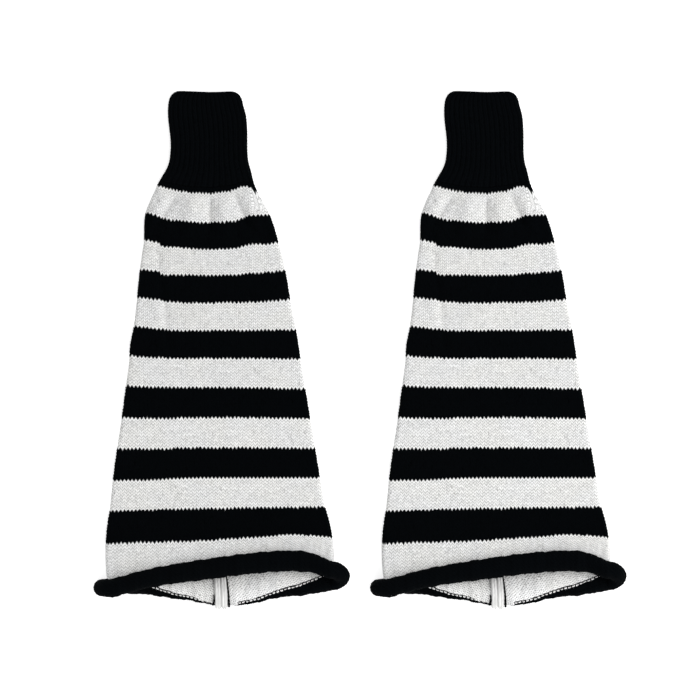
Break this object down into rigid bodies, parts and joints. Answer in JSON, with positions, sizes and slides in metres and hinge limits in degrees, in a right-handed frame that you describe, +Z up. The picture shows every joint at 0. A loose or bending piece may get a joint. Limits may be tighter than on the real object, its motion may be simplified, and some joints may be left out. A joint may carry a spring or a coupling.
{
  "type": "pair of knit leg warmers",
  "caption": "Pair of flared footless leg warmers laid flat, with ribbed cuffs, striped knitted bodies seamed up the back and hems curled outwards into soft rolls.",
  "frame": {"origin": "centre of the pair's bounding box, on the surface that the pair lies on", "axes": "+X across the pair from the left piece to the right one, +Y from the rolled hems to the cuffs, +Z up out of the surface"},
  "size_m": [0.4636, 0.4493, 0.036],
  "materials": {
    "knit_black": "matt black yarn, knitted in rib at the cuff and in jersey at the hem",
    "knit_striped": "matt jersey in white and black stripes of ten rows each, white at both ends"
  },
  "bodies": {
    "root": {"left_cuff": "knit_black", "left_body": "knit_striped", "left_hem": "knit_black", "left_seam": "knit_striped", "right_cuff": "knit_black", "right_body": "knit_striped", "right_hem": "knit_black", "right_seam": "knit_striped"}
  },
  "joints": []
}
